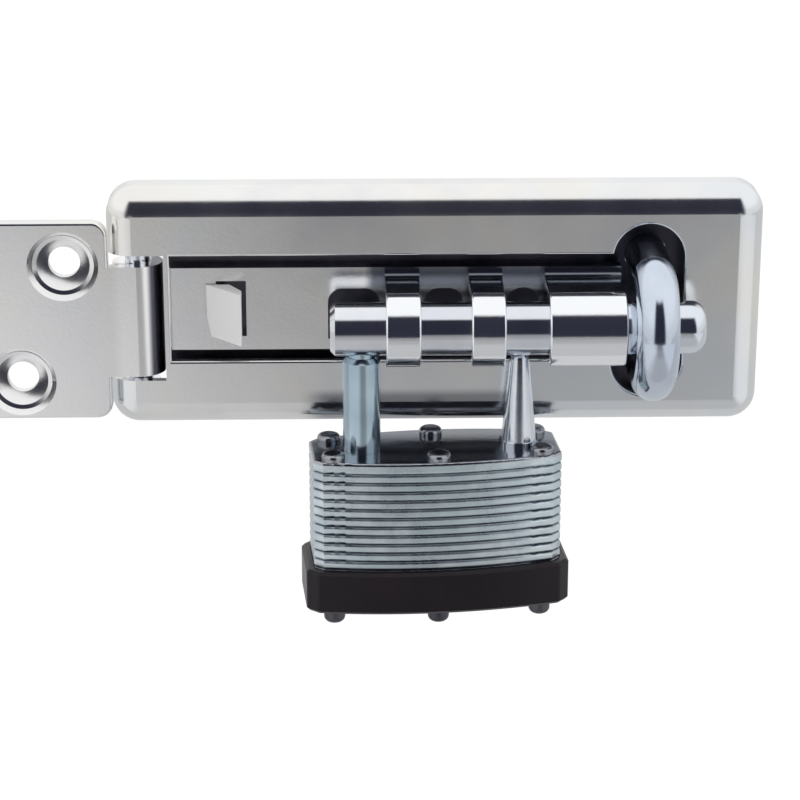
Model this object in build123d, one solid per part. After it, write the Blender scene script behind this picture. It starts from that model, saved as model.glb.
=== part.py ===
from build123d import *
import os
from math import cos, radians, sin, sqrt

# Locking hasp with its own laminated lock. X runs along the hasp, Z is up and
# the wall is the plane Y = 0. The front faces -Y, so a height f off the wall
# is at y = -f. The origin is the middle of the staple's base, on the wall.

# Cover plate: a shallow pressed pan
cover_left = -89.9
cover_right = 19.1
cover_bottom = -19.5
cover_top = 21.4
cover_depth = 8.0
cover_wall = 1.5
cover_corner = 4.7
cover_bend = 4.3
cover_rim = 0.4

# Hinge pin and the leaf that is rolled round it
pin_x = -84.9
pin_radius = 2.1
pin_bottom = -15.7
pin_top = 17.6
hinge_clearance = 0.05
leaf_thickness = 2.05
leaf_length = 44.0
leaf_height = 34.0
leaf_corner = 2.6
leaf_edge = 0.5
leaf_middle = -0.6
leaf_reach = 4.6
tongue_top = 8.7
tongue_bottom = -10.3
notch_margin = 0.9
back_clearance = 0.1
seam_gap = 0.3

# Dished screw holes of the leaf, two staggered rows
leaf_hole_radius = 2.65
dish_radius = 5.9
dish_depth = 2.9
dish_wall = 1.5
first_hole_in = 7.45
row_stagger = 7.7
hole_pitch = 18.0
upper_row = 8.9
lower_row = -11.1

# Clips that hold the pin behind the cover
clip_wall = 1.2
clip_height = 5.0
clip_foot = 3.6
clip_from_tongue = 1.6

# Strap with the guide loops, behind the cover's window
strap_thickness = 2.3
strap_top = 7.95
strap_right = -4.5
bridge_width = 1.0
window_above = 2.4
window_below = 1.6
loop_radius = 6.25
loop_root = 1.5
loop_edge = 0.35
first_loop_from_leg = 4.0
first_loop_width = 5.7
second_loop_from_toe = 8.4
second_loop_width = 5.6
third_loop_from_toe = 4.3
relief_margin = 0.9
relief_top = 4.3
relief_left = -54.2

# Backing plate that closes the cover behind the strap
backing_thickness = 1.5
backing_clearance = 0.2
backing_right = -7.2

# Stop tab cut from the strap and bent out
stop_clearance = 0.2
tab_run = 6.2
tab_rise = 6.6
tab_thickness = 1.8
tab_top = 5.2
tab_bottom = -3.6
tab_taper = 1.2

# Bolt
bolt_radius = 4.4
bolt_standoff = 7.3
bolt_left = -52.9
bolt_right = 8.6
bolt_travel = 14.4
bolt_chamfer = 0.8
bolt_nose = 2.4

# Staple and its base
wire_radius = 3.5
eye_inside = 5.15
base_side_gap = 0.6
base_lower_gap = 1.5
base_thickness = 2.3
base_corner = 2.0
base_hole_radius = 2.3
base_sink_radius = 3.8
base_spacing = 25.0
slot_width = 11.7
slot_height = 29.7
slot_middle = 0.6

# Heel leg, fixed in the bolt and swivelling there
leg_x = -47.8
leg_radius = 3.1
leg_gap = 0.2
leg_head = 2.3
leg_head_gap = 0.15
leg_chamfer = 0.7
neck_radius = 2.2
neck_under_plate = 0.4
body_drop = 15.1
spigot_radius = 2.2
spigot_top = 2.6
groove_radius = 1.45
groove_height = 1.8
groove_middle = -0.5
cross_pin_radius = 0.75

# Toe post that blocks the bolt between two loops
toe_from_end = 6.6
toe_tip_radius = 1.45
toe_foot_radius = 2.95
toe_collar_radius = 3.2
toe_collar = 0.9
toe_dome = 1.2
toe_overlap = 1.5
toe_shank_radius = 2.0
toe_shank_layers = 2

# Laminated lock body
body_width = 41.4
body_depth = 16.8
body_bow = 2.2
body_corner = 1.5
body_under_cover = 1.35
leg_from_end = 8.5
body_turn = 5.0
top_plate = 1.9
layer = 1.545
layer_count = 14
layer_edge = 0.45
bottom_plate = 1.2
running = 0.05

# Rivets
rivet_radius = 1.3
rivet_head_radius = 1.95
rivet_head = 1.2
rivet_foot_radius = 1.8
rivet_foot = 2.6
rivet_from_end = 3.35
rivet_from_front = 2.3
rivet_from_bow = 1.6

# Bumper
bumper_wall = 1.4
bumper_height = 7.4
bumper_floor = 1.6
bumper_corner = 1.8
bumper_round = 1.0
bumper_edge = 0.5

# Key cylinder
plug_radius = 3.3
plug_face_radius = 2.8
plug_face_proud = 0.4
housing_radius = 4.3
housing_layers = 9
chimney_width = 4.2
chimney_reach = 9.3
chamber_radius = 1.0
chamber_count = 4
chamber_pitch = 2.6
key_pin_inner = 1.2
driver_length = 2.2
spring_wall = 0.35
keyway_width = 1.5
keyway_height = 4.4
tail_radius = 1.6
cam_radius = 0.9
cam_throw = 0.78
cam_clearance = 0.08

# Locking lever
lever_width = 6.0
lever_right = 3.0
lever_neck_gap = 0.25
lever_travel = 1.1
lever_spring_length = 3.6
lever_spring_radius = 0.6

# Places that follow from the sizes above
pin_f = pin_radius + hinge_clearance + leaf_thickness + back_clearance
eye_radius = pin_radius + hinge_clearance
knuckle_radius = eye_radius + leaf_thickness
leaf_front = pin_f + knuckle_radius
leaf_back = leaf_front - leaf_thickness
leaf_right = pin_x - leaf_reach
cover_back = cover_depth - cover_wall
strap_back = cover_back - strap_thickness
strap_bottom = -loop_radius
notch_right = pin_x + knuckle_radius + hinge_clearance * 6
window_left = notch_right + bridge_width
strap_left = notch_right + bridge_width * 0.3
bolt_f = cover_depth + bolt_standoff
bolt_bore = bolt_radius + running
stop_x = bolt_left - bolt_travel - stop_clearance
wire_bend = eye_inside + wire_radius
body_top = cover_bottom - body_under_cover
stack_top = body_top - top_plate
stack_bottom = stack_top - layer * layer_count
plate_bottom = stack_bottom - bottom_plate
bumper_bottom = plate_bottom - bumper_floor
body_f = bolt_f
leg_hole = leg_radius + running
housing_top = stack_bottom + layer * housing_layers
lever_tip = leg_x + neck_radius + lever_neck_gap
neck_start = stack_top + neck_under_plate
leg_end = stack_top - layer - body_drop - leg_head_gap - leg_head
toe_x = leg_x + body_width - leg_from_end - toe_from_end
body_middle_x = leg_x + body_width / 2 - leg_from_end
rivet_reach_x = body_width / 2 - rivet_from_end
rivet_middle_reach = body_depth / 2 - rivet_from_front
rivet_end_reach = body_depth / 2 - body_bow - rivet_from_bow
base_width = 2 * (cover_right - cover_wall - base_side_gap)
base_height = -2 * (cover_bottom + cover_wall + base_lower_gap)
first_loop = leg_x + first_loop_from_leg
second_loop = toe_x - second_loop_from_toe
loop_spans = [(first_loop, first_loop + first_loop_width),
              (second_loop, second_loop + second_loop_width),
              (toe_x + third_loop_from_toe, strap_right)]


def block(x0, x1, f0, f1, z0, z1):
    middle = Pos((x0 + x1) / 2, -(f0 + f1) / 2, (z0 + z1) / 2)
    return middle * Box(x1 - x0, f1 - f0, z1 - z0)


def rod_x(radius, x0, x1, f, z):
    return Pos((x0 + x1) / 2, -f, z) * Rot(0, 90, 0) * Cylinder(radius, x1 - x0)


def rod_y(radius, x, f0, f1, z):
    return Pos(x, -(f0 + f1) / 2, z) * Rot(90, 0, 0) * Cylinder(radius, f1 - f0)


def rod_z(radius, x, f, z0, z1):
    return Pos(x, -f, (z0 + z1) / 2) * Cylinder(radius, z1 - z0)


def turned_z(points, x, f):
    # A turned piece about an upright axis, from (radius, z) points
    profile = Plane.XZ * make_face(Polyline(*points, close=True))
    return Pos(x, -f, 0) * revolve(profile, Axis.Z)


def turned_y(points, x, z):
    # A turned piece about an axis to the wall, from (radius, f) points
    flat = [(radius, -f) for radius, f in points]
    profile = make_face(Polyline(*flat, close=True))
    return Pos(x, 0, z) * revolve(profile, Axis.Y)


def pan(x0, x1, z0, z1, depth, corner, bend):
    outline = Plane.XZ * Pos((x0 + x1) / 2, (z0 + z1) / 2) * RectangleRounded(x1 - x0, z1 - z0, corner)
    solid = extrude(outline, depth)
    front = solid.faces().sort_by(Axis.Y)[0]
    return fillet(front.edges(), bend)


def cover_cavity():
    wall = cover_wall
    return pan(cover_left + wall, cover_right - wall, cover_bottom + wall, cover_top - wall,
               cover_back, cover_corner - wall, cover_bend - wall)


def cover_plate():
    outer = pan(cover_left, cover_right, cover_bottom, cover_top, cover_depth, cover_corner, cover_bend)
    shell = outer - cover_cavity()
    # Notch for the leaf's tongue, open through the left rim
    notch = block(cover_left - 1, notch_right, -1, cover_depth + 1,
                  tongue_bottom - notch_margin, tongue_top + notch_margin * 2)
    # Long window over the strap
    window = block(window_left, strap_right + running * 4, cover_back - 1, cover_depth + 1,
                   strap_bottom - window_below, strap_top + window_above)
    # Slot that drops over the staple
    slot_outline = Plane.XZ * Pos(0, slot_middle) * Rot(0, 0, 90) * SlotOverall(slot_height, slot_width)
    slot = Pos(0, -cover_back + 1, 0) * extrude(slot_outline, cover_wall + 2)
    shell = shell - notch - window - slot
    # Soft rims round the window and the slot, left by the press
    front = [edge for edge in shell.edges() if abs(edge.center().Y + cover_depth) < 1e-4]
    inner = [edge for edge in front if window_left - 0.1 < edge.center().X < slot_width / 2 + 0.1
             and abs(edge.center().Z - slot_middle) < slot_height / 2 + 0.1]
    return fillet(inner, cover_rim)


def dish_hole(x, z):
    # Front hollow and back swell of one dished screw hole
    floor = leaf_front - dish_depth
    hollow = [(0, leaf_front + 1), (dish_radius, leaf_front + 1), (dish_radius, leaf_front),
              (dish_radius - 0.8, leaf_front - 0.9), (dish_radius - 1.5, leaf_front - 1.1),
              (leaf_hole_radius, floor), (leaf_hole_radius, floor - dish_wall - 1), (0, floor - dish_wall - 1)]
    swell = [(0, leaf_back), (dish_radius, leaf_back), (dish_radius - 1.1, leaf_back - 0.9),
             (leaf_hole_radius + dish_wall, floor - dish_wall), (0, floor - dish_wall)]
    return turned_y(hollow, x, z), turned_y(swell, x, z)


def leaf_holes():
    first = leaf_right - first_hole_in
    upper = [(first - hole_pitch * n, upper_row) for n in range(2)]
    lower = [(first - row_stagger - hole_pitch * n, lower_row) for n in range(2)]
    return upper + lower


def hinge_leaf():
    outline = Plane.XZ * Pos(leaf_right - leaf_length / 2, leaf_middle)
    plate = Pos(0, -leaf_back, 0) * extrude(outline * RectangleRounded(leaf_length, leaf_height, leaf_corner),
                                            leaf_thickness)
    plate = fillet(plate.faces().sort_by(Axis.Y)[0].edges(), leaf_edge)
    tongue = block(leaf_right - leaf_corner, pin_x, leaf_back, leaf_front, tongue_bottom, tongue_top)
    knuckle = rod_z(knuckle_radius, pin_x, pin_f, tongue_bottom, tongue_top)
    leaf = plate + tongue + knuckle
    leaf -= rod_z(eye_radius, pin_x, pin_f, tongue_bottom - 1, tongue_top + 1)
    # Seam where the rolled end meets the back of the tongue
    seam_left = pin_x - knuckle_radius - 1
    leaf -= block(seam_left, pin_x - 0.4, leaf_back - seam_gap, leaf_back, tongue_bottom - 1, tongue_top + 1)
    for x, z in leaf_holes():
        hollow, swell = dish_hole(x, z)
        leaf = leaf + swell - hollow
    return leaf


def hinge_pin():
    return rod_z(pin_radius, pin_x, pin_f, pin_bottom, pin_top)


def pin_clip(z0):
    # Strip that comes round the back of the pin, with one foot on the cover
    z1 = z0 + clip_height
    outer = eye_radius + clip_wall
    clip = rod_z(outer, pin_x, pin_f, z0, z1)
    clip += block(pin_x - outer, pin_x + outer, pin_f, cover_back, z0, z1)
    clip -= rod_z(eye_radius, pin_x, pin_f, z0 - 1, z1 + 1)
    clip -= block(pin_x - eye_radius, pin_x + eye_radius, pin_f, cover_back + 1, z0 - 1, z1 + 1)
    clip -= block(pin_x - outer - 1, pin_x + outer + 1, cover_back, cover_depth + 1, z0 - 1, z1 + 1)
    foot = block(pin_x + outer - clip_wall, pin_x + outer + clip_foot, cover_back - clip_wall, cover_back, z0, z1)
    # Its corners follow the inner bends of the cover
    return (clip + foot) & cover_cavity()


def guide_loop(x0, x1):
    # A band that leaves the strap, goes round the bolt and comes back
    band = rod_x(loop_radius, x0, x1, bolt_f, 0)
    band += block(x0, x1, cover_back - 1, bolt_f, -loop_radius, loop_radius)
    outer = [edge for edge in band.edges() if abs(edge.center().Y + cover_back - 1) > 1e-3
             and (abs(edge.center().X - x0) < 1e-4 or abs(edge.center().X - x1) < 1e-4)]
    band = fillet(outer, loop_edge)
    # Where it leaves the strap it bends out with a soft root
    root = block(x0, x1, cover_back - 1, cover_back + loop_root, loop_radius - 1, loop_radius + loop_root)
    band += root - rod_x(loop_root, x0 - 1, x1 + 1, cover_back + loop_root, loop_radius + loop_root)
    band -= rod_x(bolt_bore, x0 - 1, x1 + 1, bolt_f, 0)
    band -= block(x0 - 1, x1 + 1, cover_back, bolt_f, -bolt_bore, bolt_bore)
    return band


def strap_relief(x0, x1):
    # Arched opening left in the strap where a band was drawn out
    width = x1 - x0
    opening = block(x0, x1, strap_back - 1, cover_back + 1, -bolt_bore, relief_top)
    return fillet(opening.edges().filter_by(Axis.Y).group_by(Axis.Z)[-1], min(width / 2 - 0.2, 2.4))


def stop_tab():
    # Ramp that rises to the right and ends square in front of the bolt
    left = stop_x - tab_run
    outline = [(left, -cover_back + tab_thickness), (left, -cover_back), (stop_x, -cover_back - tab_rise),
               (stop_x, -cover_back - tab_rise + tab_thickness * 1.4),
               (left + tab_thickness * 1.6, -cover_back + tab_thickness)]
    ramp = Pos(0, 0, tab_bottom) * extrude(make_face(Polyline(*outline, close=True)), tab_top - tab_bottom)
    # The lower end of the tab is cut narrower on both sides
    lean = [(left - 1, tab_bottom - 1), (left + tab_taper, tab_bottom - 1), (left - 1, tab_top)]
    cut = Plane.XZ * make_face(Polyline(*lean, close=True))
    return ramp - Pos(0, -cover_back - 0.02, 0) * extrude(cut, tab_rise)


def hasp_strap():
    strap = block(strap_left, strap_right, strap_back, cover_back, strap_bottom, strap_top)
    # Hole under the bent-out tab
    strap -= block(stop_x - tab_run + tab_thickness, stop_x + 0.6, strap_back - 1, cover_back + 1,
                   tab_bottom - 0.3, tab_top + 0.5)
    strap += stop_tab()
    for x0, x1 in loop_spans:
        strap += guide_loop(x0, x1)
    gaps = [(relief_left, loop_spans[0][0]), (loop_spans[0][1], loop_spans[1][0]),
            (loop_spans[1][1], loop_spans[2][0])]
    for x0, x1 in gaps:
        strap -= strap_relief(x0 + relief_margin, x1 - relief_margin)
    return strap


def backing_plate():
    gap = cover_wall + backing_clearance
    return block(strap_left, backing_right, strap_back - backing_thickness, strap_back,
                 cover_bottom + gap, cover_top - gap)


def locking_bolt():
    bolt = rod_x(bolt_radius, bolt_left, bolt_right, bolt_f, 0)
    ends = bolt.edges().filter_by(GeomType.CIRCLE).sort_by(Axis.X)
    bolt = chamfer(ends[0], bolt_chamfer)
    nose = bolt.edges().filter_by(GeomType.CIRCLE).sort_by(Axis.X)[-1]
    bolt = fillet(nose, bolt_nose)
    bolt -= rod_z(spigot_radius + running, leg_x, bolt_f, -bolt_radius - 1, spigot_top + running)
    return bolt - cross_pin_shape(running)


def cross_pin_shape(extra):
    x = leg_x + groove_radius + running + cross_pin_radius
    back = bolt_f - sqrt(bolt_radius ** 2 - groove_middle ** 2) + 0.4
    return rod_y(cross_pin_radius + extra, x, back - extra * 20, bolt_f + 1.4 + extra, groove_middle)


def leg_cross_pin():
    return cross_pin_shape(0)


def heel_leg():
    top = -bolt_radius - leg_gap
    head_top = leg_end + leg_head
    groove_top = groove_middle + groove_height / 2
    groove_low = groove_middle - groove_height / 2
    points = [(0, leg_end), (leg_radius - leg_chamfer, leg_end), (leg_radius, leg_end + leg_chamfer),
              (leg_radius, head_top), (neck_radius, head_top), (neck_radius, neck_start),
              (leg_radius, neck_start + leg_radius - neck_radius), (leg_radius, top - leg_chamfer),
              (leg_radius - leg_chamfer, top), (spigot_radius, top), (spigot_radius, groove_low),
              (groove_radius, groove_low), (groove_radius, groove_top), (spigot_radius, groove_top),
              (spigot_radius, spigot_top), (0, spigot_top)]
    return turned_z(points, leg_x, bolt_f)


def toe_post():
    tip = -loop_radius + toe_overlap
    collar_top = body_top + toe_collar
    shank = stack_top - layer * toe_shank_layers
    points = [(0, shank), (toe_shank_radius, shank), (toe_shank_radius, body_top),
              (toe_collar_radius, body_top), (toe_collar_radius, collar_top), (toe_foot_radius, collar_top),
              (toe_tip_radius, tip), (0, tip)]
    post = turned_z(points, toe_x, bolt_f)
    tip_edge = post.edges().filter_by(GeomType.CIRCLE).sort_by(Axis.Z)[-1]
    return fillet(tip_edge, toe_dome)


def body_outline(grow, corner):
    # Plan of the lock body: cut corners, front and back a little bowed
    half_w = body_width / 2 + grow
    half_d = body_depth / 2 + grow - body_bow
    side = half_d - corner
    front = half_w - corner
    right = Line((half_w, -side), (half_w, side))
    cut_a = Line((half_w, side), (front, half_d))
    back = ThreePointArc((front, half_d), (0, half_d + body_bow), (-front, half_d))
    cut_b = Line((-front, half_d), (-half_w, side))
    left = Line((-half_w, side), (-half_w, -side))
    cut_c = Line((-half_w, -side), (-front, -half_d))
    face = ThreePointArc((-front, -half_d), (0, -half_d - body_bow), (front, -half_d))
    cut_d = Line((front, -half_d), (half_w, -side))
    return make_face(right + cut_a + back + cut_b + left + cut_c + face + cut_d)


def body_slab(z0, z1, grow=0.0, corner=body_corner):
    return Pos(body_middle_x, -body_f, z0) * extrude(body_outline(grow, corner), z1 - z0)


def rivet_places():
    places = []
    for side in (-1, 1):
        for column in (-1, 0, 1):
            reach = rivet_end_reach if column else rivet_middle_reach
            places.append((body_middle_x + column * rivet_reach_x, body_f + side * reach))
    return places


def rivet_bores(z0, z1):
    return [rod_z(rivet_radius + running, x, f, z0, z1) for x, f in rivet_places()]


def edge_broken(plate, z0, z1):
    rims = [edge for edge in plate.edges()
            if abs(edge.center().Z - z0) < 1e-4 or abs(edge.center().Z - z1) < 1e-4]
    return fillet(rims, layer_edge)


def body_plate(z0, z1):
    plate = edge_broken(body_slab(z0, z1), z0, z1)
    for bore in rivet_bores(z0 - 1, z1 + 1):
        plate -= bore
    return plate


def top_cover():
    plate = body_plate(stack_top, body_top)
    plate -= rod_z(leg_hole, leg_x, bolt_f, stack_top - 1, body_top + 1)
    return plate - rod_z(toe_shank_radius + running, toe_x, bolt_f, stack_top - 1, body_top + 1)


def housing_shape(grow, z0, z1):
    half = chimney_width / 2 + grow
    shape = rod_z(housing_radius + grow, body_middle_x, body_f, z0, z1)
    return shape + block(body_middle_x, body_middle_x + chimney_reach + grow,
                         body_f - half, body_f + half, z0, z1)


def lever_pocket(z0, z1):
    half = lever_width / 2 + running
    right = body_middle_x + lever_right + lever_travel + lever_spring_length + running
    return block(leg_x, right, body_f - half, body_f + half, z0, z1)


def lamination(n):
    z1 = stack_top - layer * n
    z0 = z1 - layer
    plate = body_plate(z0, z1)
    plate -= rod_z(leg_hole, leg_x, bolt_f, z0 - 1, z1 + 1)
    if n < toe_shank_layers:
        plate -= rod_z(toe_shank_radius + running, toe_x, bolt_f, z0 - 1, z1 + 1)
    if n == 0:
        return plate - lever_pocket(z0 - 1, z1 + 1)
    if n < layer_count - housing_layers:
        return plate - rod_z(tail_radius + running * 4, body_middle_x, body_f, z0 - 1, z1 + 1)
    return plate - housing_shape(running, z0 - 1, z1 + 1)


def bottom_cover():
    plate = body_plate(plate_bottom, stack_bottom)
    return plate - rod_z(plug_face_radius + running, body_middle_x, body_f, plate_bottom - 1, stack_bottom + 1)


def body_rivets():
    rivets = []
    for x, f in rivet_places():
        shank = rod_z(rivet_radius, x, f, bumper_bottom, body_top)
        head = rod_z(rivet_head_radius, x, f, body_top, body_top + rivet_head)
        head = fillet(head.edges().sort_by(Axis.Z)[-1], rivet_head * 0.6)
        foot = rod_z(rivet_foot_radius, x, f, bumper_bottom - rivet_foot, bumper_bottom)
        foot = fillet(foot.edges().sort_by(Axis.Z)[0], rivet_foot * 0.4)
        rivets.append(shank + head + foot)
    return Compound(rivets)


def bumper():
    top = plate_bottom - bumper_floor + bumper_height
    shell = body_slab(bumper_bottom, top, bumper_wall, bumper_corner)
    shell = fillet(shell.edges().filter_by(Axis.Z), bumper_round)
    rims = [edge for edge in shell.edges()
            if abs(edge.center().Z - bumper_bottom) < 1e-4 or abs(edge.center().Z - top) < 1e-4]
    shell = chamfer(rims, bumper_edge)
    shell -= body_slab(plate_bottom, top + 1, running)
    shell -= rod_z(plug_face_radius + running * 8, body_middle_x, body_f, bumper_bottom - 1, plate_bottom + 1)
    for bore in rivet_bores(bumper_bottom - 1, plate_bottom + 1):
        shell -= bore
    return shell


def chamber_heights():
    middle = (housing_top + stack_bottom) / 2
    first = middle - chamber_pitch * (chamber_count - 1) / 2
    return [first + chamber_pitch * n for n in range(chamber_count)]


def cylinder_housing():
    housing = housing_shape(0, stack_bottom, housing_top)
    housing -= rod_z(plug_radius + running, body_middle_x, body_f, stack_bottom - 1, housing_top + 1)
    for z in chamber_heights():
        housing -= rod_x(chamber_radius + running, body_middle_x, body_middle_x + chimney_reach - 0.6, body_f, z)
    return housing


def key_plug():
    x = body_middle_x
    plug = rod_z(plug_radius, x, body_f, stack_bottom, housing_top)
    plug += rod_z(plug_face_radius, x, body_f, bumper_bottom - plug_face_proud, stack_bottom)
    plug += rod_z(tail_radius, x, body_f, housing_top, stack_top - layer)
    cam_x = x - cam_throw * sin(radians(45))
    cam_f = body_f + cam_throw * cos(radians(45))
    plug += rod_z(cam_radius, cam_x, cam_f, stack_top - layer, stack_top - running)
    plug -= block(x - keyway_height / 2, x + keyway_height / 2 - 0.6,
                  body_f - keyway_width / 2, body_f + keyway_width / 2,
                  bumper_bottom - plug_face_proud - 1, housing_top - 1.2)
    for z in chamber_heights():
        plug -= rod_x(chamber_radius + running, x + key_pin_inner - running, x + plug_radius + 1, body_f, z)
    return plug


def row_of_pins(radius, start, length):
    x = body_middle_x + start
    return [rod_x(radius, x, x + length, body_f, z) for z in chamber_heights()]


def key_pins():
    return Compound(row_of_pins(chamber_radius, key_pin_inner, plug_radius - 0.3 - key_pin_inner))


def driver_pins():
    return Compound(row_of_pins(chamber_radius, plug_radius + 0.15, driver_length))


def pin_springs():
    start = plug_radius + 0.15 + driver_length + running
    length = chimney_reach - 0.6 - start - running
    outer = row_of_pins(chamber_radius - running, start, length)
    inner = row_of_pins(chamber_radius - running - spring_wall, start - 1, length + 2)
    return Compound([tube - core for tube, core in zip(outer, inner)])


def locking_lever():
    half = lever_width / 2
    right = body_middle_x + lever_right
    lever = block(lever_tip, right, body_f - half, body_f + half,
                  stack_top - layer + running, stack_top - running)
    cam_x = body_middle_x - cam_throw * sin(radians(45))
    slot_half = cam_radius + cam_clearance
    reach = cam_throw + slot_half
    return lever - block(cam_x - slot_half, cam_x + slot_half, body_f - reach, body_f + reach,
                         stack_top - layer - 1, stack_top + 1)


def lever_spring():
    # Drawn at the length it has when the lever is drawn back
    x0 = body_middle_x + lever_right + lever_travel + running
    z = stack_top - layer / 2
    return rod_x(lever_spring_radius, x0, x0 + lever_spring_length - running, body_f, z)


def staple_eye():
    path = Line((0, 0, wire_bend), (0, -bolt_f, wire_bend))
    path += ThreePointArc((0, -bolt_f, wire_bend), (0, -bolt_f - wire_bend, 0), (0, -bolt_f, -wire_bend))
    path += Line((0, -bolt_f, -wire_bend), (0, 0, -wire_bend))
    section = Plane(origin=(0, 0, wire_bend), z_dir=(0, -1, 0)) * Circle(wire_radius)
    return sweep(section, path)


def staple_base():
    outline = Plane.XZ * RectangleRounded(base_width, base_height, base_corner)
    plate = extrude(outline, base_thickness)
    for side in (-1, 1):
        plate -= rod_y(wire_radius + running, 0, -1, base_thickness + 1, side * wire_bend)
        for column in (-1, 1):
            x = column * base_spacing / 2
            z = side * base_spacing / 2
            sink = base_sink_radius - base_hole_radius
            hole = [(0, -1), (base_hole_radius, -1), (base_hole_radius, base_thickness - sink),
                    (base_sink_radius, base_thickness), (base_sink_radius, base_thickness + 1),
                    (0, base_thickness + 1)]
            plate -= turned_y(hole, x, z)
    return plate


def hung(shape):
    # The lock hangs turned a little about its heel leg, its far end towards the wall
    leg = Pos(leg_x, -bolt_f, 0)
    return leg * Rot(0, 0, body_turn) * leg.inverse() * shape


upper_clip_z = tongue_top + clip_from_tongue
lower_clip_z = tongue_bottom - clip_from_tongue - clip_height
pieces = {
    "cover_plate": cover_plate(),
    "hinge_leaf": hinge_leaf(),
    "hinge_pin": hinge_pin(),
    "upper_pin_clip": pin_clip(upper_clip_z),
    "lower_pin_clip": pin_clip(lower_clip_z),
    "hasp_strap": hasp_strap(),
    "backing_plate": backing_plate(),
    "locking_bolt": locking_bolt(),
    "leg_cross_pin": leg_cross_pin(),
    "heel_leg": heel_leg(),
    "staple_eye": staple_eye(),
    "staple_base": staple_base(),
}
lock_pieces = {
    "toe_post": toe_post(),
    "body_top_plate": top_cover(),
    "body_bottom_plate": bottom_cover(),
    "body_rivets": body_rivets(),
    "bumper": bumper(),
    "cylinder_housing": cylinder_housing(),
    "key_plug": key_plug(),
    "key_pins": key_pins(),
    "driver_pins": driver_pins(),
    "pin_springs": pin_springs(),
    "locking_lever": locking_lever(),
    "lever_spring": lever_spring(),
}
for n in range(layer_count):
    lock_pieces[f"lamination_{n + 1:02d}"] = lamination(n)
for name, shape in lock_pieces.items():
    pieces[name] = hung(shape)

os.makedirs("parts", exist_ok=True)
for name, shape in pieces.items():
    export_step(shape, f"parts/{name}.step")
    print(name, round(shape.volume, 1))
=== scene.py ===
import bpy
from math import radians
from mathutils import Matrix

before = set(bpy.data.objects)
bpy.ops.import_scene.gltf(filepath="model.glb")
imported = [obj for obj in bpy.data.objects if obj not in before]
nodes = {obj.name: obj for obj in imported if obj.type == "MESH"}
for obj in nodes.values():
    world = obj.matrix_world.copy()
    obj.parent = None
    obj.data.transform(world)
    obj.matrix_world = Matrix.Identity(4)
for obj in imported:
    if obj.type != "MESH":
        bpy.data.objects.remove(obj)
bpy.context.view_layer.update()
mm = 0.001


# small helpers for node materials

def newMaterial(name):
    material = bpy.data.materials.new(name)
    material.use_nodes = True
    tree = material.node_tree
    return material, tree, tree.nodes["Principled BSDF"]


def addNode(tree, kind, **values):
    node = tree.nodes.new(kind)
    for key, value in values.items():
        setattr(node, key, value)
    return node


def setInputs(node, **values):
    for key, value in values.items():
        node.inputs[key.replace("_", " ")].default_value = value


def plug(tree, value, socket):
    # links a socket, or writes a plain value
    if isinstance(value, bpy.types.NodeSocket):
        tree.links.new(value, socket)
    else:
        socket.default_value = value


def calc(tree, operation, first, second=0.0):
    node = addNode(tree, "ShaderNodeMath", operation=operation)
    plug(tree, first, node.inputs[0])
    plug(tree, second, node.inputs[1])
    return node.outputs[0]


def piecePoint(tree):
    # the piece's own coordinates, in metres
    return addNode(tree, "ShaderNodeTexCoord").outputs["Object"]


def axisOf(tree, letter):
    parts = addNode(tree, "ShaderNodeSeparateXYZ")
    tree.links.new(piecePoint(tree), parts.inputs[0])
    return parts.outputs[letter]


noiseRoughness = 0.55


def noise(tree, vector, scale, detail=4.0):
    node = addNode(tree, "ShaderNodeTexNoise")
    setInputs(node, Scale=scale, Detail=detail, Roughness=noiseRoughness)
    tree.links.new(vector, node.inputs["Vector"])
    return node.outputs["Fac"]


def ramp(tree, fac, stops):
    node = addNode(tree, "ShaderNodeValToRGB")
    band = node.color_ramp
    while len(band.elements) < len(stops):
        band.elements.new(0.5)
    for element, (place, colour) in zip(band.elements, stops):
        element.position = place
        element.color = (*colour, 1)
    tree.links.new(fac, node.inputs["Fac"])
    return node.outputs["Color"]


def spread(tree, fac, start, end, low, high, soft=False):
    # runs from low at start to high at end
    node = addNode(tree, "ShaderNodeMapRange")
    if soft:
        node.interpolation_type = "SMOOTHSTEP"
    names = ("Value", "From Min", "From Max", "To Min", "To Max")
    for name, value in zip(names, (fac, start, end, low, high)):
        plug(tree, value, node.inputs[name])
    return node.outputs["Result"]


def fade(tree, fac, start, end):
    # softly from 0 at start to 1 at end
    return spread(tree, fac, start, end, 0, 1, soft=True)


def mixColour(tree, fac, first, second):
    node = addNode(tree, "ShaderNodeMix", data_type="RGBA")
    plug(tree, fac, node.inputs[0])
    for colour, socket in ((first, node.inputs[6]), (second, node.inputs[7])):
        plug(tree, colour if isinstance(colour, bpy.types.NodeSocket) else (*colour, 1), socket)
    return node.outputs[2]


# finishes: two colours in clouds, tints in patches, roughness, grain and dents (depths in mm)

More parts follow.
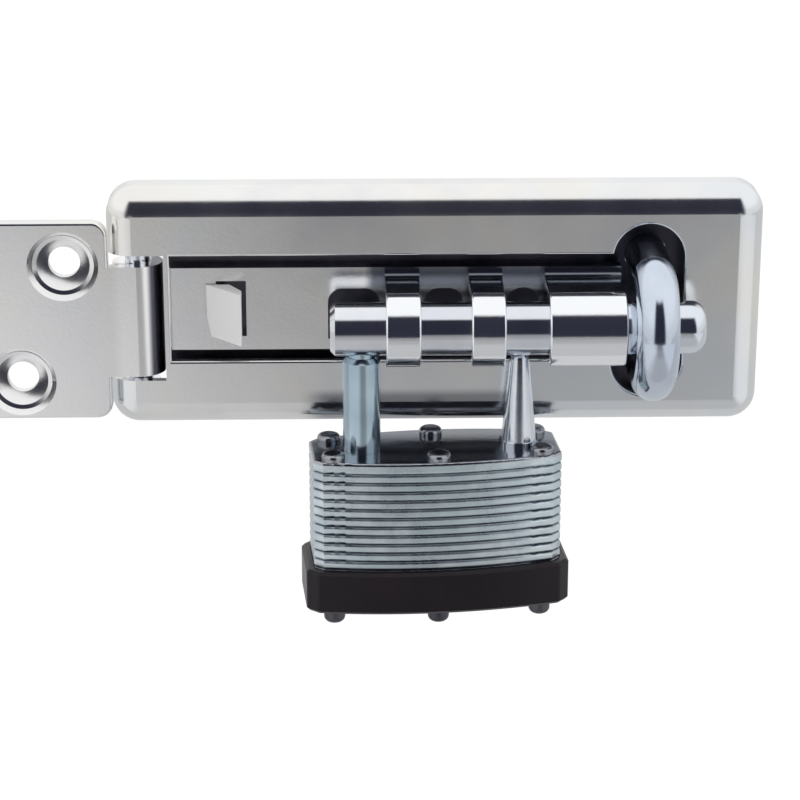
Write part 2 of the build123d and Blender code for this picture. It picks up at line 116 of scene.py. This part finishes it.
platedSteel = {
    "light": (0.90, 0.895, 0.88), "dark": (0.82, 0.82, 0.83),
    "tint": (0.76, 0.83, 0.90), "tintPatch": 0.5, "warm": (0.90, 0.875, 0.81), "warmPatch": 0.5,
    "rough": (0.13, 0.20), "cloud": 80,
    "grain": 1800, "grainDepth": 0.006, "dent": 26, "dentDepth": 0.16,
}
leafSteel = dict(
    platedSteel, tint=(0.86, 0.87, 0.88), tintPatch=0.3, warm=(0.90, 0.88, 0.84), warmPatch=0.5)
hardSteel = {
    "light": (0.84, 0.86, 0.90), "dark": (0.74, 0.76, 0.82),
    "tint": (0.70, 0.78, 0.86), "tintPatch": 0.4, "rough": (0.10, 0.17), "cloud": 90,
    "grain": 2200, "grainDepth": 0.003, "dent": 60, "dentDepth": 0.02,
}
blueSteel = {
    "light": (0.44, 0.56, 0.62), "dark": (0.28, 0.38, 0.45),
    "tint": (0.54, 0.65, 0.74), "tintPatch": 0.5, "rough": (0.10, 0.18), "cloud": 120,
    "grain": 2400, "grainDepth": 0.004, "dent": 80, "dentDepth": 0.02,
}
stapleSteel = {
    "light": (0.70, 0.76, 0.84), "dark": (0.56, 0.62, 0.72),
    "tint": (0.60, 0.68, 0.80), "tintPatch": 0.4, "rough": (0.09, 0.16), "cloud": 100,
    "grain": 2200, "grainDepth": 0.004, "dent": 60, "dentDepth": 0.03,
}
stampedSteel = {
    "light": (0.77, 0.85, 0.88), "dark": (0.55, 0.62, 0.66),
    "tint": (0.62, 0.76, 0.80), "tintPatch": 0.5, "rough": (0.24, 0.38), "cloud": 240,
    "grain": 1500, "grainDepth": 0.02, "dent": 110, "dentDepth": 0.06,
}
mirrorSteel = {
    "light": (0.52, 0.54, 0.58), "dark": (0.36, 0.37, 0.41),
    "tint": (0.46, 0.50, 0.52), "tintPatch": 0.4, "rough": (0.07, 0.14), "cloud": 160,
    "grain": 1800, "grainDepth": 0.006, "dent": 70, "dentDepth": 0.08,
}
# painted shade: the rivets are dark all over, so that their feet under the lock look shaded; the
# heads get a lighter polish
rivetShadeSteel = {
    "light": (0.12, 0.12, 0.135), "dark": (0.07, 0.07, 0.085),
    "tint": (0.11, 0.10, 0.11), "tintPatch": 0.4, "rough": (0.20, 0.34), "cloud": 160,
    "grain": 1500, "grainDepth": 0.02, "dent": 90, "dentDepth": 0.06,
}
# painted shade: a dark steel for the backing plate and the slot's base, standing for the shade in
# the gaps around the strap and in the slot
darkShadeSteel = {
    "light": (0.11, 0.11, 0.14), "dark": (0.07, 0.07, 0.09),
    "tint": (0.12, 0.11, 0.12), "tintPatch": 0.4, "rough": (0.30, 0.45), "cloud": 120,
    "grain": 1500, "grainDepth": 0.02, "dent": 50, "dentDepth": 0.05,
}
brass = {
    "light": (0.78, 0.62, 0.33), "dark": (0.62, 0.47, 0.22),
    "tint": (0.70, 0.50, 0.26), "tintPatch": 0.3, "rough": (0.22, 0.34), "cloud": 200,
    "grain": 1500, "grainDepth": 0.01, "dent": 90, "dentDepth": 0.02,
}
blackPlastic = {
    "light": (0.016, 0.009, 0.015), "dark": (0.008, 0.005, 0.008),
    "tint": (0.012, 0.008, 0.016), "tintPatch": 0.5, "rough": (0.26, 0.38), "cloud": 80,
    "grain": 2600, "grainDepth": 0.03, "dent": 60, "dentDepth": 0.05, "specular": 0.27,
}

# the part of the clouds' noise that runs from dark to light, and from smooth to rough
cloudLook = {"colourBand": (0.36, 0.64), "roughBand": (0.30, 0.70)}

# patches of tint: their scale against the clouds', and the part of the noise that they fill
patchLook = {
    "tint": {"scale": 0.3, "detail": 2.0, "band": (0.42, 0.62)},
    "warm": {"scale": 0.8, "detail": 1.0, "band": (0.50, 0.66)},
}


def tintPatches(tree, point, look, kind, colour):
    patch = patchLook[kind]
    cloud = noise(tree, point, look["cloud"] * patch["scale"], patch["detail"])
    share = calc(tree, "MULTIPLY", fade(tree, cloud, *patch["band"]), look[kind + "Patch"])
    return mixColour(tree, share, colour, look[kind])


def jointGreaseAndShade(tree, point, joints, colour):
    # grease and painted shade in the joints between the plates, uneven along them
    upward = calc(tree, "SUBTRACT", axisOf(tree, "Z"), joints["bottom"] * mm)
    inPlate = calc(tree, "FRACT", calc(tree, "DIVIDE", upward, joints["pitch"] * mm))
    fromMiddle = calc(tree, "ABSOLUTE", calc(tree, "SUBTRACT", inPlate, 0.5))
    joint = fade(tree, fromMiddle, joints["darkFrom"], joints["darkFull"])
    blotches = noise(tree, point, joints["uneven"], detail=2.0)
    uneven = spread(tree, blotches, *joints["unevenBand"], joints["least"], 1)
    return mixColour(tree, calc(tree, "MULTIPLY", joint, uneven), colour, joints["colour"])


def bump(tree, point, scale, depth, detail, under=None):
    node = addNode(tree, "ShaderNodeBump")
    setInputs(node, Strength=1.0, Distance=depth * mm)
    tree.links.new(noise(tree, point, scale, detail), node.inputs["Height"])
    if under is not None:
        tree.links.new(under, node.inputs["Normal"])
    return node.outputs["Normal"]


def finish(name, look, metallic=1.0, zones=(), joints=None):
    # a zone changes the finish where all its places are passed: (axis, start, end), in mm
    material, tree, shader = newMaterial(name)
    point = piecePoint(tree)
    cloud = noise(tree, point, look["cloud"])
    darkEnd, lightEnd = cloudLook["colourBand"]
    colour = ramp(tree, cloud, [(darkEnd, look["dark"]), (lightEnd, look["light"])])
    for kind in patchLook:
        if kind in look:
            colour = tintPatches(tree, point, look, kind, colour)
    rough = spread(tree, cloud, *cloudLook["roughBand"], *look["rough"])
    for zone in zones:
        share = zone.get("share", 1.0)
        for axis, start, end in zone["places"]:
            passed = fade(tree, axisOf(tree, axis), start * mm, end * mm)
            share = calc(tree, "MULTIPLY", passed, share)
        colour = mixColour(tree, share, colour, zone["colour"])
        rough = spread(tree, share, 0, 1, rough, zone["rough"])
    if joints:
        colour = jointGreaseAndShade(tree, point, joints, colour)
    tree.links.new(colour, shader.inputs["Base Color"])
    tree.links.new(rough, shader.inputs["Roughness"])
    shader.inputs["Metallic"].default_value = metallic
    shader.inputs["Specular IOR Level"].default_value = look.get("specular", 0.5)
    dents = bump(tree, point, look["dent"], look["dentDepth"], 1.0)
    grain = bump(tree, point, look["grain"], look["grainDepth"], 2.0, under=dents)
    tree.links.new(grain, shader.inputs["Normal"])
    return material


# where a piece is more polished or more satin than the rest of it
loopPolish = {"places": [("Y", -7.0, -8.0)], "colour": (0.93, 0.95, 0.98), "rough": 0.11}
tabSatin = {
    "places": [("X", -64.0, -66.0), ("Y", -6.6, -6.9)], "colour": (1.0, 1.0, 1.0), "rough": 0.75,
}
barrelPolish = {"places": [("X", -89.5, -87.0)], "colour": (0.98, 0.98, 0.98), "rough": 0.16}
# polish and painted reflection: the lock's top face is polished, and its darker colour is a painted
# dark reflection
topPolishDarkReflection = {"places": [("Z", -21.5, -21.15)], "colour": (0.42, 0.44, 0.48), "rough": 0.12}
headPolish = {"places": [("Z", -22.0, -21.0)], "colour": (0.34, 0.35, 0.38), "rough": 0.16}

# painted shade: dark places in the recess above the loops' roots and in the gap beside the barrel
loopRootShade = {
    "places": [("X", -47.5, -45.5), ("Z", 3.6, 4.8), ("Y", -9.0, -8.2)],
    "colour": (0.13, 0.15, 0.19), "rough": 0.20, "share": 0.9,
}
# painted shade on the barrel's right side, where it dips into the gap by the cover
barrelGapShade = {"places": [("X", -83.4, -82.4)], "colour": (0.12, 0.12, 0.15), "rough": 0.25}

# the lock's mirror image in the cover, painted as a rubbed band, so it stays when the lock moves
lockReflectionBand = {
    "places": [("Z", -12.6, -14.4), ("X", -58.5, -53.5), ("X", -19.0, -25.0), ("Y", -4.0, -6.5)],
    "colour": (0.16, 0.17, 0.20), "rough": 0.16, "share": 0.68,
}
# grease and painted shade in the joints between the lock's plates
plateJointGreaseAndShade = {
    "bottom": -44.38, "pitch": 1.545, "darkFrom": 0.22, "darkFull": 0.44,
    "uneven": 150, "unevenBand": (0.35, 0.60), "least": 0.6, "colour": (0.26, 0.30, 0.35),
}
finishes = {
    "cover": finish("plated cover steel", platedSteel, zones=[lockReflectionBand]),
    "leaf": finish("plated leaf, bright barrel", leafSteel, zones=[barrelPolish, barrelGapShade]),
    "strap": finish("plated strap, bright loops", platedSteel,
                    zones=[loopPolish, loopRootShade, tabSatin]),
    "hard": finish("polished hard steel", hardSteel),
    "staple": finish("staple wire", stapleSteel),
    "blue": finish("bluish plated leg", blueSteel),
    "stamped": finish("stamped lock plates", stampedSteel, joints=plateJointGreaseAndShade),
    "lockTop": finish("lock top, polished, painted dark reflection above", stampedSteel, zones=[topPolishDarkReflection]),
    "rivet": finish("rivets darkened as painted shade", rivetShadeSteel, zones=[headPolish]),
    "mirror": finish("polished inner steel", mirrorSteel),
    "paintedShade": finish("dark steel painted as shade", darkShadeSteel),
    "brass": finish("cylinder brass", brass),
    "plastic": finish("black bumper plastic", blackPlastic, metallic=0.0),
}
finishOfNode = {
    "cover": ["cover_plate", "upper_pin_clip", "lower_pin_clip"],
    "leaf": ["hinge_leaf"],
    "strap": ["hasp_strap"],
    "hard": ["locking_bolt", "toe_post", "hinge_pin", "leg_cross_pin"],
    "staple": ["staple_eye"],
    "blue": ["heel_leg"],
    "stamped": ["body_bottom_plate"] + [f"lamination_{n:02d}" for n in range(1, 15)],
    "lockTop": ["body_top_plate"],
    "rivet": ["body_rivets"],
    "mirror": ["locking_lever", "pin_springs", "lever_spring"],
    "paintedShade": ["backing_plate", "staple_base"],
    "plastic": ["bumper"],
    "brass": ["cylinder_housing", "key_plug", "key_pins", "driver_pins"],
}
for key, names in finishOfNode.items():
    for name in names:
        piece = nodes[name]
        piece.data.materials.clear()
        piece.data.materials.append(finishes[key])
print("finishes done")


# stage: lengths in mm, the floor well below the hasp and open in front

def flatSheet(name, left, right, front, back, height):
    x0, x1, y0, y1, z = (length * mm for length in (left, right, front, back, height))
    mesh = bpy.data.meshes.new(name)
    mesh.from_pydata([(x0, y0, z), (x1, y0, z), (x1, y1, z), (x0, y1, z)], [], [(0, 1, 2, 3)])
    sheet = bpy.data.objects.new(name, mesh)
    bpy.context.scene.collection.objects.link(sheet)
    return sheet


floorLook = {
    "height": -300, "reach": 3000, "front": -950, "grey": 0.70, "matte": 0.9,
    "glow": 0.40,  # for the camera alone, which lifts the floor to white
}


def floorMaterial():
    # keeps the object's shadow
    material, tree, shader = newMaterial("white studio floor")
    grey = floorLook["grey"]
    setInputs(shader, Base_Color=(grey, grey, grey, 1), Roughness=floorLook["matte"])
    path = addNode(tree, "ShaderNodeLightPath")
    shader.inputs["Emission Color"].default_value = (1, 1, 1, 1)
    glow = calc(tree, "MULTIPLY", path.outputs["Is Camera Ray"], floorLook["glow"])
    tree.links.new(glow, shader.inputs["Emission Strength"])
    return material


reach = floorLook["reach"]
floor = flatSheet("studio_floor", -reach, reach, floorLook["front"], reach, floorLook["height"])
floor.data.materials.append(floorMaterial())

# A low sheet in front, which is seen only in mirror images. Its greys were first worked out from
# the cover's brightness in the photograph, then adjusted by comparing renders with it at fixed
# spots. In near and far each stop is a place across, from 0 to 1, and its grey.
sheetLook = {
    "left": -700, "right": 700, "front": -850, "back": -60, "height": -160, "matte": 0.9,
    "across": (-450, 350), "nearToFar": (-440, -620), "blue": 1.01,
    "near": [(0.20, 0.96), (0.35, 0.96), (0.385, 0.80), (0.44, 0.65),
             (0.49, 0.475), (0.56, 0.443), (0.70, 0.482), (0.80, 0.92)],
    "far": [(0.20, 0.92), (0.36, 0.56), (0.40, 0.50), (0.43, 0.455), (0.47, 0.27),
            (0.54, 0.318), (0.60, 0.33), (0.70, 0.354), (0.78, 0.58), (0.84, 0.92)],
    "close": (-360, -220), "closeLift": 0.30, "closeGrey": (0.92, 0.92, 0.93),
}


def greys(stops):
    return [(place, (grey, grey, grey * sheetLook["blue"])) for place, grey in stops]


def inMetres(band):
    return [length * mm for length in band]


def sheetMaterial():
    material, tree, shader = newMaterial("pale studio sheet")
    across = spread(tree, axisOf(tree, "X"), *inMetres(sheetLook["across"]), 0, 1)
    near = ramp(tree, across, greys(sheetLook["near"]))
    far = ramp(tree, across, greys(sheetLook["far"]))
    depth = axisOf(tree, "Y")
    farther = spread(tree, depth, *inMetres(sheetLook["nearToFar"]), 0, 1)
    colour = mixColour(tree, farther, near, far)
    close = spread(tree, depth, *inMetres(sheetLook["close"]), 0, sheetLook["closeLift"], soft=True)
    colour = mixColour(tree, close, colour, sheetLook["closeGrey"])
    tree.links.new(colour, shader.inputs["Base Color"])
    setInputs(shader, Roughness=sheetLook["matte"])
    return material


frontSheet = flatSheet("front_sheet", *(sheetLook[key] for key in (
    "left", "right", "front", "back", "height")))
frontSheet.data.materials.append(sheetMaterial())
frontSheet.visible_camera = False
frontSheet.visible_shadow = False
frontSheet.visible_diffuse = False


# light: a pale tent all round with a dark gap in front, which the metal mirrors; the camera
# alone sees plain white. Angles in degrees.

tentLook = {
    "halfWidth": 30, "sideSoft": 8, "low": -12, "high": 56, "soft": 5,
    "dark": (0.028, 0.029, 0.045),
    "skirt": 0.80, "skirtTop": 25,  # a little greyer low down, so that pale walls stand out
}


def lightTent():
    world = bpy.data.worlds.new("light tent")
    world.use_nodes = True
    tree = world.node_tree
    tree.nodes.clear()
    place = addNode(tree, "ShaderNodeTexCoord")
    parts = addNode(tree, "ShaderNodeSeparateXYZ")
    tree.links.new(place.outputs["Generated"], parts.inputs[0])
    toFront = calc(tree, "MULTIPLY", parts.outputs["Y"], -1.0)
    around = calc(tree, "ABSOLUTE", calc(tree, "ARCTAN2", parts.outputs["X"], toFront))
    height = calc(tree, "ARCSINE", parts.outputs["Z"])
    halfWidth, sideSoft, low, high, soft, skirtTop = (radians(tentLook[key]) for key in (
        "halfWidth", "sideSoft", "low", "high", "soft", "skirtTop"))
    inside = fade(tree, around, halfWidth + sideSoft, halfWidth - sideSoft)
    above = fade(tree, height, low - soft, low + soft)
    below = fade(tree, height, high + soft, high - soft)
    gap = calc(tree, "MULTIPLY", calc(tree, "MULTIPLY", inside, above), below)
    skirt = fade(tree, height, skirtTop, 0)
    cloth = mixColour(tree, skirt, (1.0, 1.0, 1.0), (tentLook["skirt"],) * 3)
    colour = mixColour(tree, gap, cloth, tentLook["dark"])
    path = addNode(tree, "ShaderNodeLightPath")
    tent = addNode(tree, "ShaderNodeBackground")
    plain = addNode(tree, "ShaderNodeBackground")
    mix = addNode(tree, "ShaderNodeMixShader")
    out = addNode(tree, "ShaderNodeOutputWorld")
    tree.links.new(colour, tent.inputs["Color"])
    plain.inputs["Color"].default_value = (1, 1, 1, 1)
    tree.links.new(path.outputs["Is Camera Ray"], mix.inputs["Fac"])
    tree.links.new(tent.outputs[0], mix.inputs[1])
    tree.links.new(plain.outputs[0], mix.inputs[2])
    tree.links.new(mix.outputs[0], out.inputs["Surface"])
    return world


bpy.context.scene.world = lightTent()
print("stage done")


# camera, at the photograph's viewing angle: millimetres and degrees

cameraLook = {
    "x": -49.6, "front": 420.8, "z": 130.1, "pitch": 19.35, "yaw": 1.15,
    "lens": 117.0, "sensor": 36,
}
cameraData = bpy.data.cameras.new("camera")
cameraData.lens = cameraLook["lens"]
cameraData.sensor_width = cameraLook["sensor"]
camera = bpy.data.objects.new("camera", cameraData)
bpy.context.scene.collection.objects.link(camera)
camera.location = (cameraLook["x"] * mm, -cameraLook["front"] * mm, cameraLook["z"] * mm)
camera.rotation_euler = (radians(90 - cameraLook["pitch"]), 0, -radians(cameraLook["yaw"]))
bpy.context.scene.camera = camera
bpy.context.scene.view_settings.view_transform = "Standard"
print("camera done")
